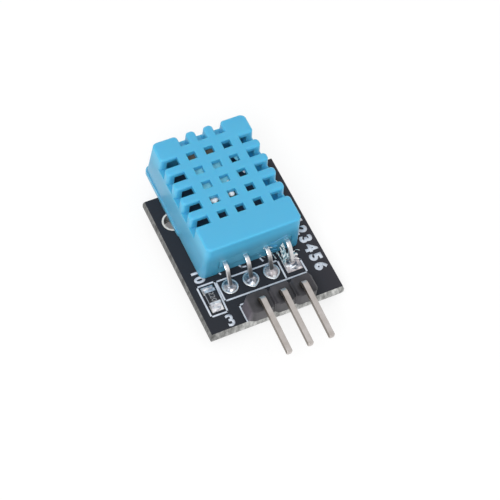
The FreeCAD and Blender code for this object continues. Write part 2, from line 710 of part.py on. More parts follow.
circuit_board()
mounting_ring("mounting_ring_left", -1)
mounting_ring("mounting_ring_right", 1)
for index in range(4):
    lead_spot = f"{FIRST_LEAD} + {index} * [pitch]"
    joint(f"lead_joint_{index + 1}", lead_spot, "[lead_y]", "[lead_bore]", "[lead_land]",
          "[lead_width]", "[lead_thickness]", top_solder=True, square=index == 3)
    sensor_lead(f"sensor_lead_{index + 1}", lead_spot)
header_housing()
for index in range(3):
    pin_spot = f"{FIRST_PIN} + {index} * [pitch]"
    joint(f"pin_joint_{index + 1}", pin_spot, "[header_y]", "[pin_bore]", "[pin_land]", "[pin_width]", "[pin_width]")
    header_pin(f"header_pin_{index + 1}", pin_spot)
sensor_cover()
sensor_back_plate()
lead_seal()
inner_board()
humidity_element()
element_post("element_post_1", -1)
element_post("element_post_2", 1)
chip("control_chip", "[chip_width]", "[chip_length]", "[chip_height]", "0", "-[chip_y]")
chip("thermistor", "[thermistor_width]", "[thermistor_length]", "[thermistor_height]",
     f"{INNER_HALF} - [thermistor_inset]", "-[thermistor_y]")
chip_resistor()
for index, side in ((1, -1), (2, 1)):
    resistor_land(f"resistor_land_{index}", side)
    resistor_solder(f"resistor_solder_{index}", side)
doc.recompute()

failed = [item.Label for item in doc.Objects if {"Invalid", "Error"} & set(item.State)]
failed += [item.Label for item in SUB_PARTS if item.Shape.isNull() or not item.Shape.isValid()]
if failed:
    raise RuntimeError("these failed: " + ", ".join(failed))
os.makedirs("parts", exist_ok=True)
for item in SUB_PARTS:
    item.Shape.exportStep(f"parts/{item.Label}.step")
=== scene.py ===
import math

import bmesh
import bpy
from mathutils import Matrix, Vector, noise


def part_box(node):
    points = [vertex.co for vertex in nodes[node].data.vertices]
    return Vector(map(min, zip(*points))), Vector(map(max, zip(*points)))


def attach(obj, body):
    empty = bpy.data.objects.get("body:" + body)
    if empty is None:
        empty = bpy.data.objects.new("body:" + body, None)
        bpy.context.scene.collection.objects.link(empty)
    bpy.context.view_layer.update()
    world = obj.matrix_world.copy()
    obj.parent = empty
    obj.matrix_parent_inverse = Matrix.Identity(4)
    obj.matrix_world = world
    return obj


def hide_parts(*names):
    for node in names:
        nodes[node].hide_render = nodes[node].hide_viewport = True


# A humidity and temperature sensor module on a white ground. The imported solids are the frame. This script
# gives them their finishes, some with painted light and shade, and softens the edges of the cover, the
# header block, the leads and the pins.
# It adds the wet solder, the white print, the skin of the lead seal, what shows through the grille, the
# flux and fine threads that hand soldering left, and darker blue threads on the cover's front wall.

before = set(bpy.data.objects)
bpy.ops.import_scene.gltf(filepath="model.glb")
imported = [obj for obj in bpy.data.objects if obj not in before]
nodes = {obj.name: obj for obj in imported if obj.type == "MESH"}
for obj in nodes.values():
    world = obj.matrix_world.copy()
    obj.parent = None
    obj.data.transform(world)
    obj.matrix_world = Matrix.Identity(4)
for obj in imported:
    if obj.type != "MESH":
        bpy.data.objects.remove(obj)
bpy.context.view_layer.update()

MM = 0.001
PITCH = 2.54

# Without a seed the noise, and so the uneven solder, would differ from run to run.
noise.seed_set(2)

# Board coordinates count in millimetres from the middle of the black face's front edge, at the height of
# that face. Below it, the snapped edge stands out a little further.
BOARD_LOW, BOARD_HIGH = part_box("circuit_board")
SNAPPED_EDGE = 0.15


def at(x, y, z=0.0):
    """A point of the board, in the frame."""
    return Vector((x * MM, BOARD_LOW.y + (y + SNAPPED_EDGE) * MM, BOARD_HIGH.z + z * MM))


def middle_of(name):
    """The middle of a solid's box, at the height of the black face."""
    low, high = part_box(name)
    return Vector(((low.x + high.x) / 2, (low.y + high.y) / 2, BOARD_HIGH.z))


# Shader nodes

def linear(red, green, blue):
    """A screen colour, 0 to 255, as the light it stands for."""
    steps = [value / 255 for value in (red, green, blue)]
    return [v / 12.92 if v <= 0.04045 else ((v + 0.055) / 1.055) ** 2.4 for v in steps] + [1.0]


def grey(level):
    """A plain grey as a share of full light."""
    return [level, level, level, 1.0]


def node(tree, kind, **inputs):
    """A shader node with its inputs set by name, where a space is written as an underscore."""
    made = tree.nodes.new(kind)
    for name, value in inputs.items():
        made.inputs[name.replace("_", " ")].default_value = value
    return made


def object_noise(tree, scale, detail=3.0, stretch=(1.0, 1.0, 1.0)):
    """Noise on Object coordinates. The scale is in waves per millimetre."""
    place = tree.nodes.new("ShaderNodeTexCoord")
    spread = node(tree, "ShaderNodeMapping", Scale=[s * scale / MM for s in stretch])
    cloud = node(tree, "ShaderNodeTexNoise", Scale=1.0, Detail=detail, Roughness=0.55)
    tree.links.new(place.outputs["Object"], spread.inputs["Vector"])
    tree.links.new(spread.outputs["Vector"], cloud.inputs["Vector"])
    return cloud.outputs["Fac"]


def object_axes(tree):
    """The three Object coordinates, in metres."""
    place = tree.nodes.new("ShaderNodeTexCoord")
    split = tree.nodes.new("ShaderNodeSeparateXYZ")
    tree.links.new(place.outputs["Object"], split.inputs["Vector"])
    return split.outputs


def ramp(tree, source, stops):
    """A colour ramp over a value. A stop is (place, colour)."""
    made = tree.nodes.new("ShaderNodeValToRGB")
    while len(made.color_ramp.elements) < len(stops):
        made.color_ramp.elements.new(0.5)
    for element, (place, colour) in zip(made.color_ramp.elements, stops):
        element.position = place
        element.color = colour
    tree.links.new(source, made.inputs["Fac"])
    return made.outputs["Color"]


def maths(tree, operation, *values):
    """A Math node on links or plain numbers."""
    made = tree.nodes.new("ShaderNodeMath")
    made.operation = operation
    for socket, value in zip(made.inputs, values):
        if isinstance(value, (int, float)):
            socket.default_value = value
        else:
            tree.links.new(value, socket)
    return made.outputs["Value"]


def blend(tree, factor, low, high, mode="MIX"):
    """One colour over another. Each is a link or a plain colour."""
    made = tree.nodes.new("ShaderNodeMix")
    made.data_type = "RGBA"
    made.blend_type = mode
    for name, value in (("Factor", factor), ("A", low), ("B", high)):
        if isinstance(value, (int, float, list)):
            made.inputs[name].default_value = value
        else:
            tree.links.new(value, made.inputs[name])
    return made.outputs["Result"]


def share(tree, value, none, full):
    """How far a value has come from one limit to another, 0 to 1."""
    made = node(tree, "ShaderNodeMapRange", From_Min=none, From_Max=full)
    tree.links.new(value, made.inputs["Value"])
    return made.outputs["Result"]


def board_share(tree, axes, axis, none, full):
    """How far the surface has come from one board coordinate to another, 0 to 1."""
    zero = at(0, 0)["XYZ".index(axis)]
    return share(tree, axes[axis], zero + none * MM, zero + full * MM)


def beside_pins(tree, axes, shift=0.0):
    """How far the surface lies to the right of the nearest header pin, in metres."""
    from_pin = maths(tree, "SUBTRACT", axes["X"], middle_of("header_pin_2").x + shift * MM)
    return maths(tree, "WRAP", from_pin, -PITCH / 2 * MM, PITCH / 2 * MM)


# Finishes

def colour_by(material, tone):
    """Lets a link colour a finish, and hands the finish back."""
    tree = material.node_tree
    tree.links.new(tone, tree.nodes["Principled BSDF"].inputs["Base Color"])
    return material


def finish(name, colour, roughness, metallic=0.0, shine=0.5, mottle=None, bumps=None):
    """A finish. mottle is (waves per mm, stops); bumps is (waves per mm, height in mm)."""
    made = bpy.data.materials.new(name)
    made.use_nodes = True
    tree = made.node_tree
    surface = tree.nodes["Principled BSDF"]
    surface.inputs["Base Color"].default_value = colour
    surface.inputs["Roughness"].default_value = roughness
    surface.inputs["Metallic"].default_value = metallic
    surface.inputs["Specular IOR Level"].default_value = shine
    if mottle:
        colour_by(made, ramp(tree, object_noise(tree, mottle[0]), mottle[1]))
    if bumps:
        relief = node(tree, "ShaderNodeBump", Strength=1.0, Distance=bumps[1] * MM)
        tree.links.new(object_noise(tree, bumps[0]), relief.inputs["Height"])
        tree.links.new(relief.outputs["Normal"], surface.inputs["Normal"])
    return made


def board_finish():
    """Black solder mask on both faces, with painted light towards the right edge, and grey, fibrous glass
    on every edge, with painted shade towards the left.
    """
    mask_black, mask_painted_light = linear(38, 41, 48), linear(50, 49, 55)
    made = finish("board", mask_black, 0.5, shine=0.25, bumps=(3.0, 0.003))
    tree = made.node_tree
    axes = object_axes(tree)
    middle, half = (BOARD_LOW.z + BOARD_HIGH.z) / 2, (BOARD_HIGH.z - BOARD_LOW.z) / 2
    from_middle = maths(tree, "ABSOLUTE", maths(tree, "SUBTRACT", axes["Z"], middle))
    on_face = maths(tree, "GREATER_THAN", from_middle, half - 0.01 * MM)
    across = share(tree, axes["X"], BOARD_LOW.x, BOARD_HIGH.x)
    glass = ramp(tree, object_noise(tree, 2.2, 6.0, (1.0, 1.0, 0.3)), [
        (0.30, linear(112, 112, 110)), (0.50, linear(168, 169, 167)), (0.70, linear(216, 216, 214))])
    # painted shade: the edge glass darker towards the left of the board
    shade = ramp(tree, across, [(0.0, grey(0.33)), (0.03, grey(0.6)), (0.25, grey(1.0)), (1.0, grey(1.0))])
    edge = blend(tree, 1.0, glass, shade, "MULTIPLY")
    # painted light: the mask paler towards the right edge
    mask = ramp(tree, across, [(0.8, mask_black), (1.0, mask_painted_light)])
    return colour_by(made, blend(tree, on_face, edge, mask))


def header_finish():
    """Black moulded plastic, with painted light on its left end and a painted shadow beside the root of
    each of the three pins.
    """
    made = finish("header_black", linear(58, 55, 60), 0.42, shine=0.45, bumps=(2.0, 0.006))
    tree = made.node_tree
    axes = object_axes(tree)
    cloud = ramp(tree, object_noise(tree, 0.5), [
        (0.38, linear(44, 44, 48)), (0.62, linear(64, 62, 67))])
    # painted shadow: darker in a small round patch just left of and in front of each pin's root
    back = maths(tree, "SUBTRACT", axes["Y"], at(0, 0.55).y)
    squares = [maths(tree, "POWER", maths(tree, "ABSOLUTE", value), 2.0)
               for value in (beside_pins(tree, axes, shift=-0.2), back)]
    from_pin_shadow = maths(tree, "DIVIDE", maths(tree, "SQRT", maths(tree, "ADD", *squares)), MM)
    pin_shadow = ramp(tree, from_pin_shadow, [(0.45, [0.35, 0.33, 0.35, 1.0]), (0.8, grey(1.0))])
    # painted light: the left end face paler
    left_end_light = board_share(tree, axes, "X", -3.19, -3.55)
    tone = blend(tree, 1.0, cloud, pin_shadow, "MULTIPLY")
    return colour_by(made, blend(tree, left_end_light, tone, linear(100, 95, 103)))


def pin_finish():
    """Tinned brass, with painted shade down both sides of each pin."""
    made = finish("pin_metal", linear(200, 193, 189), 0.42, 0.75, bumps=(2.5, 0.003))
    tree = made.node_tree
    cloud = ramp(tree, object_noise(tree, 0.9), [
        (0.35, linear(190, 183, 178)), (0.65, linear(206, 200, 197))])
    # painted shade: both sides of each pin darker
    across = maths(tree, "ABSOLUTE", beside_pins(tree, object_axes(tree)))
    side = maths(tree, "GREATER_THAN", across, 0.3 * MM)
    return colour_by(made, blend(tree, side, cloud, linear(126, 118, 110)))


def coat_finish():
    """Black glaze on the top of the chip resistor and pale ceramic down its sides."""
    glaze, ceramic = linear(34, 33, 36), linear(178, 184, 192)
    made = finish("resistor_coat", glaze, 0.3, bumps=(2.5, 0.003))
    tree = made.node_tree
    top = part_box("resistor_body")[1].z
    side = share(tree, object_axes(tree)["Z"], top - 0.08 * MM, top - 0.1 * MM)
    return colour_by(made, blend(tree, side, glaze, ceramic))


def cover_finish():
    """Blue plastic that lets some light in, with painted shade low on its front wall, painted light and
    shade on its left wall, and a painted glow inside its right wall.
    """
    blue, front_foot_shade = linear(77, 177, 217), linear(67, 154, 190)
    made = finish("cover_blue", blue, 0.40, shine=0.6, bumps=(1.0, 0.003))
    tree = made.node_tree
    surface = tree.nodes["Principled BSDF"]
    surface.inputs["Subsurface Weight"].default_value = 0.6
    surface.inputs["Subsurface Radius"].default_value = (0.3, 0.9, 1.0)
    surface.inputs["Subsurface Scale"].default_value = 0.8 * MM
    axes = object_axes(tree)
    # painted shade: the front wall darker towards its foot
    on_front = board_share(tree, axes, "Y", 6.95, 6.75)
    low = board_share(tree, axes, "Z", 4.7, 3.3)
    tone = blend(tree, maths(tree, "MULTIPLY", on_front, low), blue, front_foot_shade)
    # painted light and shade: the left wall paler and greyer low down, darker in the middle, paler again
    # near the top
    on_left = board_share(tree, axes, "X", -5.70, -5.86)
    left_wall_light_and_shade = ramp(tree, board_share(tree, axes, "Z", 1.2, 5.2), [
        (0.0, linear(97, 171, 206)), (0.55, linear(70, 163, 200)), (1.0, linear(82, 183, 221))])
    colour_by(made, blend(tree, on_left, tone, left_wall_light_and_shade))
    # painted light: the inner face of the right wall glows a little, in place of the light that comes
    # through the plastic
    painted_glow = board_share(tree, axes, "Z", 4.25, 4.1)
    for axis, none, full in (("X", 4.1, 4.2), ("X", 4.9, 4.8), ("Y", 8.2, 8.4), ("Y", 19.8, 19.6)):
        painted_glow = maths(tree, "MULTIPLY", painted_glow, board_share(tree, axes, axis, none, full))
    surface.inputs["Emission Color"].default_value = (0.02, 0.42, 1.0, 1.0)
    tree.links.new(maths(tree, "MULTIPLY", painted_glow, 0.14), surface.inputs["Emission Strength"])
    return made


BLUE = cover_finish()
PLATE_BLUE = finish("plate_blue", linear(80, 160, 193), 0.45, bumps=(1.2, 0.004),
                    mottle=(0.8, [(0.35, linear(77, 156, 189)), (0.65, linear(83, 164, 197))]))
BOARD = board_finish()
TIN = finish("tin", linear(225, 226, 222), 0.3, 1.0, bumps=(2.5, 0.006))
RING = finish("ring", linear(226, 220, 212), 0.55, 0.2, bumps=(2.5, 0.006),
              mottle=(1.5, [(0.35, linear(217, 211, 203)), (0.6, linear(231, 225, 217))]))
# partly painted reflection: the dark and bright patches in the solder's colour stand in for the
# surroundings it mirrors, and partly show its uneven surface
SOLDER = finish("solder", linear(208, 210, 214), 0.42, 1.0, bumps=(2.4, 0.01),
                mottle=(1.9, [(0.36, linear(96, 106, 120)), (0.48, linear(162, 167, 175)),
                              (0.62, linear(216, 214, 218))]))
LEAD = finish("lead_metal", linear(243, 242, 243), 0.3, 1.0, bumps=(1.8, 0.01))
PIN = pin_finish()
HEADER = header_finish()
INNER_MASK = finish("inner_mask", linear(36, 66, 88), 0.5, bumps=(2.0, 0.003))
CERAMIC = finish("ceramic", linear(190, 235, 222), 0.6,
                 mottle=(0.45, [(0.42, linear(110, 165, 158)), (0.58, linear(205, 240, 228))]))
FILM = finish("film", linear(137, 230, 250), 0.6,
              mottle=(0.6, [(0.4, linear(108, 200, 226)), (0.6, linear(150, 236, 252))]))
# painted highlight: a plain near-white for the glints of solder inside the grille and of the bright flux
# threads
PAINTED_GLINT = finish("painted_glint", linear(252, 250, 248), 0.4, bumps=(3.0, 0.006))
WIRE = finish("inner_wire", linear(120, 112, 100), 0.6, bumps=(2.5, 0.006))
CHIP = finish("chip_plastic", linear(48, 70, 92), 0.5, bumps=(2.5, 0.004))
PRINT = finish("print", linear(206, 213, 224), 0.7, shine=0.2,
               mottle=(1.6, [(0.35, linear(190, 198, 210)), (0.65, linear(214, 221, 231))]))
COAT = coat_finish()
MARK = finish("resistor_mark", linear(140, 142, 146), 0.6, bumps=(4.0, 0.003))
DULL = finish("dull_solder", linear(212, 204, 205), 0.45, 0.6, bumps=(2.4, 0.01),
              mottle=(1.8, [(0.36, linear(160, 155, 160)), (0.58, linear(212, 205, 206))]))
# a darker blue for threads on the cover's front wall
WALL_DARK_BLUE = finish("wall_dark_blue", linear(64, 146, 188), 0.4, bumps=(3.0, 0.006))
# painted highlight: near-white with little metal, for two heaps of solder
SOLDER_HIGHLIGHT = finish("solder_painted_highlight", linear(248, 248, 250), 0.4, 0.35, bumps=(3.0, 0.01))
RIM = finish("pad_rim", linear(236, 240, 243), 0.38, 1.0, bumps=(3.0, 0.01))
CAP = finish("resistor_metal", linear(232, 233, 238), 0.34, 0.75, bumps=(2.4, 0.01),
             mottle=(1.6, [(0.36, linear(176, 178, 186)), (0.56, linear(240, 240, 244))]))
FLUX = finish("flux", linear(215, 228, 228), 0.2, shine=0.7, bumps=(3.0, 0.03),
              mottle=(4.0, [(0.36, linear(38, 96, 118)), (0.48, linear(150, 186, 194)),
                            (0.58, linear(236, 242, 243))]))

FINISHES = {
    "circuit_board": BOARD, "mounting_ring": RING, "lead_joint": SOLDER, "sensor_lead": LEAD,
    "pin_joint": SOLDER, "header_pin": PIN, "header_housing": HEADER, "sensor_cover": BLUE,
    "sensor_back_plate": PLATE_BLUE, "lead_seal": PLATE_BLUE, "inner_board": INNER_MASK,
    "humidity_element": CERAMIC, "element_post": SOLDER, "control_chip": CHIP, "thermistor": CHIP,
    "resistor_body": COAT, "resistor_cap": CAP, "resistor_land": TIN, "resistor_solder": CAP,
}
for name, solid in nodes.items():
    family = next(key for key in FINISHES if name.startswith(key))
    solid.data.materials.clear()
    solid.data.materials.append(FINISHES[family])


# Pieces

def piece(name, mesh, finishes):
    """A finished mesh as a piece that rides on the board."""
    made = bpy.data.meshes.new(name)
    bmesh.ops.recalc_face_normals(mesh, faces=mesh.faces)
    mesh.to_mesh(made)
    mesh.free()
    shown = bpy.data.objects.new(name, made)
    bpy.context.scene.collection.objects.link(shown)
    for item in finishes:
        made.materials.append(item)
    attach(shown, "root")
    return shown


def add_block(mesh, size, centre):
    """A block round a point of the frame, its size in millimetres."""
    made = bmesh.ops.create_cube(mesh, size=1.0)["verts"]
    bmesh.ops.scale(mesh, verts=made, vec=[s * MM for s in size])
    bmesh.ops.translate(mesh, verts=made, vec=centre)


def roughen(verts, height, scale, seed, along=(1.0, 1.0, 1.0)):
    """Moves vertices by smooth noise, its height in millimetres and its scale in waves per millimetre."""
    for vert in verts:
        push = noise.noise_vector(vert.co / MM * scale + Vector((seed, 2.0 * seed, -seed)))
        vert.co += Vector([push[i] * along[i] * height * MM for i in range(3)])


def finish_faces(verts, look):
    """Gives the faces round some vertices one of their piece's finishes, by its number."""
    for face in {face for vert in verts for face in vert.link_faces}:
        face.material_index = look


def add_lumps(mesh, rough, lumps):
    """Uneven lumps. Each is a board point, a size, a seed and the number of a finish."""
    for spot, size, seed, look in lumps:
        made = bmesh.ops.create_icosphere(mesh, subdivisions=2, radius=0.5)["verts"]
        bmesh.ops.scale(mesh, verts=made, vec=[s * MM for s in size])
        roughen(made, rough, 2.6, seed)
        bmesh.ops.translate(mesh, verts=made, vec=at(*spot))
        finish_faces(made, look)


def add_thread(mesh, points, start, end, look):
    """A fine round thread through board points, from one thickness to another."""
    last = len(points) - 1
    places = [at(*point) for point in points]
    for index, (low, high) in enumerate(zip(places, places[1:])):
        run = high - low
        thick = [start + (end - start) * step / last for step in (index, index + 1)]
        made = bmesh.ops.create_cone(mesh, cap_ends=True, segments=8, radius1=thick[0] / 2 * MM,
                                     radius2=thick[1] / 2 * MM, depth=run.length)["verts"]
        turn = run.to_track_quat("Z", "Y").to_matrix().to_4x4()
        bmesh.ops.transform(mesh, verts=made, matrix=Matrix.Translation((low + high) / 2) @ turn)
        finish_faces(made, look)


# White print: frames round the resistor, the leads and the header, short strokes, and plain numbers

PRINT_HEIGHT = 0.02
LINE_WIDTH = 0.19
PRINTED_LINES = [
    # round the resistor
    [(-7.12, 6.0), (-5.02, 5.98), (-5.2, 1.98), (-7.12, 2.02), (-7.12, 6.0)],
    # round the leads
    [(-4.88, 3.26), (-4.87, 5.87), (2.64, 5.76), (2.6, 3.3)],
    [(-4.88, 3.26), (5.14, 3.14), (5.08, 4.88), (4.96, 5.02)],
    # beside the header
    [(-3.05, 2.2), (-3.7, 2.18), (-3.72, 0.06)],
    # strokes under the front of the cover
    [(-1.64, 6.9), (-1.4, 6.5), (-0.95, 6.42)],
    [(1.0, 6.7), (1.12, 6.35)],
    [(-4.02, 6.68), (-3.98, 6.6)],
]


def printed_lines():
    """The printed frames and strokes, as flat bars that lie on the board."""
    mesh = bmesh.new()
    for path in PRINTED_LINES:
        for start, end in zip(path, path[1:]):
            along = at(*end) - at(*start)
            size = (along.length + LINE_WIDTH * MM, LINE_WIDTH * MM, PRINT_HEIGHT * MM)
            turn = Matrix.Rotation(math.atan2(along.y, along.x), 4, "Z")
            middle = (at(*start) + at(*end)) / 2 + Vector((0, 0, PRINT_HEIGHT / 2 * MM))
            bar = bmesh.ops.create_cube(mesh, size=1.0)["verts"]
            bmesh.ops.scale(mesh, verts=bar, vec=size)
            bmesh.ops.transform(mesh, verts=bar, matrix=Matrix.Translation(middle) @ turn)
    return piece("printed_lines", mesh, [PRINT])


def printed_number(name, text, place, height, turn, weight, spread=1.0, ink=PRINT):
    """A plain number with its middle at a given point, its height in millimetres, turned by degrees."""
    curve = bpy.data.curves.new(name, "FONT")
    curve.body = text
    curve.align_x = "CENTER"
    curve.align_y = "CENTER"
    curve.offset = weight
    curve.space_character = spread
    curve.resolution_u = 4
    written = bpy.data.objects.new(name + "_outline", curve)
    bpy.context.scene.collection.objects.link(written)
    bpy.context.view_layer.update()
    flat = bpy.data.meshes.new_from_object(written.evaluated_get(bpy.context.evaluated_depsgraph_get()))
    mesh = bmesh.new()
    mesh.from_mesh(flat)
    bpy.data.objects.remove(written)
    bpy.data.curves.remove(curve)
    bpy.data.meshes.remove(flat)
    extents = [(min(v.co[i] for v in mesh.verts), max(v.co[i] for v in mesh.verts)) for i in range(3)]
    middle = Vector([(low + high) / 2 for low, high in extents])
    scale = height / (extents[1][1] - extents[1][0])
    bmesh.ops.remove_doubles(mesh, verts=mesh.verts, dist=1e-5)
    raised = bmesh.ops.extrude_face_region(mesh, geom=mesh.faces[:])["geom"]
    top = [item for item in raised if isinstance(item, bmesh.types.BMVert)]
    bmesh.ops.translate(mesh, verts=top, vec=(0, 0, PRINT_HEIGHT / scale))
    sized = Matrix.Rotation(math.radians(turn), 4, "Z") @ Matrix.Scale(scale * MM, 4)
    bmesh.ops.transform(mesh, verts=mesh.verts,
                        matrix=Matrix.Translation(place) @ sized @ Matrix.Translation(-middle))
    return piece(name, mesh, [ink])


# Softened mouldings and metal

SAME_POINT = 0.0005

# between two faces: under FLAT they are one face, under SMOOTH they shade as one, over SHARP their edge is
# rounded off
FLAT = math.radians(1.0)
SMOOTH = math.radians(15.0)
SHARP = math.radians(30.0)


def softened(name, source, width, level=None, rise=0.0):
    """A copy of a solid with its sharp edges rounded off, in the solid's place.

    The vertices at one level above the board may rise first, in millimetres."""
    mesh = bmesh.new()
    mesh.from_mesh(nodes[source].data)
    bmesh.ops.remove_doubles(mesh, verts=mesh.verts, dist=SAME_POINT * MM)
    if level:
        raised = [vert for vert in mesh.verts if abs(vert.co.z - at(0, 0, level).z) < 0.01 * MM]
        bmesh.ops.translate(mesh, verts=raised, vec=(0, 0, rise * MM))
    bmesh.ops.dissolve_limit(mesh, angle_limit=FLAT, verts=mesh.verts, edges=mesh.edges)
    sharp = [edge for edge in mesh.edges if len(edge.link_faces) == 2 and edge.calc_face_angle(0.0) > SHARP]
    bmesh.ops.bevel(mesh, geom=sharp, offset=width * MM, offset_type="OFFSET", segments=2, profile=0.5,
                    affect="EDGES", clamp_overlap=True, material=-1)
    bmesh.ops.remove_doubles(mesh, verts=mesh.verts, dist=SAME_POINT * MM)
    for face in mesh.faces:
        face.smooth = True
    for edge in mesh.edges:
        edge.smooth = len(edge.link_faces) == 2 and edge.calc_face_angle(0.0) < SMOOTH
    shown = piece(name, mesh, [nodes[source].data.materials[0]])
    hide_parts(source)
    return shown


def softened_cover():
    """The cover. The bars of its grille are thinned from below, where the cavity's ceiling is."""
    ceiling, thinned = 5.0, 0.35
    softened("cover_moulding", "sensor_cover", 0.07, ceiling, thinned)


def softened_header():
    """The header block. Its left end leans out towards the foot."""
    block_height, end_from, lean = 2.1, -3.1, 0.32
    block = softened("header_moulding", "header_housing", 0.12)
    for vert in block.data.vertices:
        if vert.co.x < at(end_from, 0).x:
            up = (vert.co.z - BOARD_HIGH.z) / (block_height * MM)
            vert.co.x -= lean * MM * max(0.0, 1.0 - up)


# Solder and flux

LEAD_PLACES = [middle_of(f"lead_joint_{number}") for number in (1, 2, 3, 4)]
FOOT = 0.052

# across one wetted land, as distance from its middle and height: foot, bright rim, trough and cone
WET_PROFILE = [(0.0, FOOT), (0.95, FOOT), (0.95, 0.085), (0.91, 0.115), (0.84, 0.12), (0.77, 0.095),
               (0.66, 0.16), (0.52, 0.25), (0.40, 0.37), (0.32, 0.42), (0.0, 0.43)]
CONE_EDGE = 0.7
RIM_EDGE = 0.79


def wet_joint(number, seed, tail=0.0, swell=0.0, look=SOLDER):
    """The solder that wetted one round land: a bright rim, a shallow trough and an uneven cone."""
    mesh = bmesh.new()
    points = [mesh.verts.new((radius * MM, 0, height * MM)) for radius, height in WET_PROFILE]
    edges = [mesh.edges.new(pair) for pair in zip(points, points[1:])]
    bmesh.ops.spin(mesh, geom=points + edges, cent=(0, 0, 0), axis=(0, 0, 1), angle=math.tau, steps=28,
                   use_merge=True)
    bmesh.ops.remove_doubles(mesh, verts=mesh.verts, dist=0.002 * MM)
    cone = []
    for vert in mesh.verts:
        radius = vert.co.xy.length / MM
        forward = max(0.0, -vert.co.y / MM)
        if radius > CONE_EDGE:
            # the rim runs out into a point at the front
            vert.co.y -= tail * (forward / radius) ** 14 * MM
        elif vert.co.z > 2 * FOOT * MM:
            vert.co.z += swell * forward * MM
            cone.append(vert)
    roughen(cone, 0.09, 2.4, seed, (0.6, 0.6, 1.0))
    for face in mesh.faces:
        on_rim = face.calc_center_median().xy.length > RIM_EDGE * MM
        face.material_index = 1 if on_rim else 0
        face.smooth = on_rim
    bmesh.ops.translate(mesh, verts=mesh.verts, vec=LEAD_PLACES[number - 1])
    return piece(f"wet_solder_{number}", mesh, [look, RIM])


def square_joint():
    """The uneven solder on the square land, with two heaps in near-white as a painted highlight."""
    land, flat_edge, thickness = 1.9, 0.9, 0.14
    mesh = bmesh.new()
    slab = bmesh.ops.create_grid(mesh, x_segments=12, y_segments=12, size=0.5)["verts"]
    bmesh.ops.scale(mesh, verts=slab, vec=(land * MM, land * MM, 1.0))
    inner = [vert for vert in slab if max(abs(vert.co.x), abs(vert.co.y)) < flat_edge * MM]
    for vert in slab:
        vert.co.z = FOOT * MM
    for vert in inner:
        vert.co.z = thickness * MM
    roughen(inner, 0.12, 2.2, 4.0, (0.5, 0.5, 1.0))
    bmesh.ops.translate(mesh, verts=slab, vec=LEAD_PLACES[3])
    add_lumps(mesh, 0.12, [
        ((3.86, 4.22, 0.16), (0.74, 0.36, 0.30), 2.0, 1),
        ((3.36, 4.55, 0.16), (0.5, 0.34, 0.3), 3.0, 1),
        ((4.45, 4.75, 0.14), (0.9, 0.7, 0.2), 6.0, 0),
        ((3.97, 4.80, 0.25), (0.8, 0.7, 0.5), 8.0, 0),
    ])
    return piece("wet_solder_4", mesh, [DULL, SOLDER_HIGHLIGHT])


def resistor_heaps():
    """The uneven solder over both ends of the chip resistor."""
    mesh = bmesh.new()
    add_lumps(mesh, 0.1, [
        ((-6.2, 2.78, 0.16), (1.15, 0.62, 0.42), 1.0, 0),
        ((-5.95, 3.12, 0.5), (0.8, 0.3, 0.16), 5.0, 0),
        ((-6.3, 2.55, 0.12), (0.7, 0.4, 0.3), 9.0, 0),
        ((-6.15, 5.32, 0.18), (1.25, 0.5, 0.4), 3.0, 0),
    ])
    return piece("resistor_heaps", mesh, [CAP])


def seal_skin():
    """The soft front of the seal, which swelled out round the leads almost to the cover's wall."""
    thickness, middle_y = 0.22, 6.76
    low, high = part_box("lead_seal")
    width, height = (high.x - low.x) / MM - 0.1, (high.z - low.z) / MM - 0.04
    mesh = bmesh.new()
    add_block(mesh, (width, thickness, height),
              Vector(((low.x + high.x) / 2, at(0, middle_y).y, (low.z + high.z) / 2)))
    bmesh.ops.subdivide_edges(mesh, edges=mesh.edges[:], cuts=12, use_grid_fill=True)
    roughen(mesh.verts, 0.05, 1.1, 3.0, (0.0, 1.0, 0.0))
    for face in mesh.faces:
        face.smooth = True
    return piece("seal_skin", mesh, [PLATE_BLUE])


# points along each thread, then its first and last thickness
GLASSY_THREADS = [
    ([(3.0, 6.5, 0.45), (3.05, 6.2, 0.2), (3.12, 5.6, 0.1), (3.14, 4.9, 0.1)], 0.16, 0.1),
    ([(1.55, 6.35, 1.9), (2.05, 6.2, 1.3), (2.4, 6.05, 0.5), (2.6, 6.0, 0.06)], 0.1, 0.16),
    ([(0.7, 6.45, 1.3), (1.0, 6.5, 0.8), (1.4, 6.45, 0.45)], 0.05, 0.07),
    ([(1.05, 6.48, 2.5), (1.3, 6.42, 2.25), (1.55, 6.35, 2.3)], 0.16, 0.08),
    ([(1.55, 6.4, 2.65), (1.75, 6.38, 2.4), (2.1, 6.45, 2.15)], 0.08, 0.14),
    ([(5.15, 6.2, 0.08), (5.35, 6.12, 0.1), (5.55, 5.98, 0.06)], 0.09, 0.05),
    ([(3.36, 6.5, 2.3), (3.5, 6.35, 1.9), (3.42, 6.1, 1.5), (3.6, 5.8, 0.9), (3.5, 5.4, 0.5)], 0.1, 0.3),
]
# painted highlight: these threads take the plain white finish of the glints
BRIGHT_THREADS = [
    ([(3.1, 6.4, 1.6), (3.25, 6.1, 1.2), (3.2, 5.7, 0.6)], 0.08, 0.18),
    ([(4.25, 5.9, 0.12), (4.6, 5.95, 0.22), (4.95, 6.1, 0.1)], 0.2, 0.12),
    ([(4.45, 5.45, 0.12), (4.75, 5.6, 0.25), (5.05, 5.5, 0.1)], 0.24, 0.12),
    ([(4.96, 5.02, 0.1), (4.6, 5.18, 0.2), (4.16, 5.14, 0.24)], 0.14, 0.1),
]
# darker blue threads on the cover's front wall
WALL_DARK_THREADS = [
    ([(1.9, 6.58, 2.95), (2.4, 6.58, 2.85), (3.0, 6.58, 3.1), (3.5, 6.58, 3.2), (3.95, 6.59, 3.38)],
     0.1, 0.16),
    ([(2.0, 6.57, 2.3), (2.35, 6.57, 2.0), (2.8, 6.57, 1.9)], 0.14, 0.28),
    ([(1.9, 6.56, 1.3), (2.4, 6.56, 1.25), (2.8, 6.56, 1.1)], 0.1, 0.2),
]


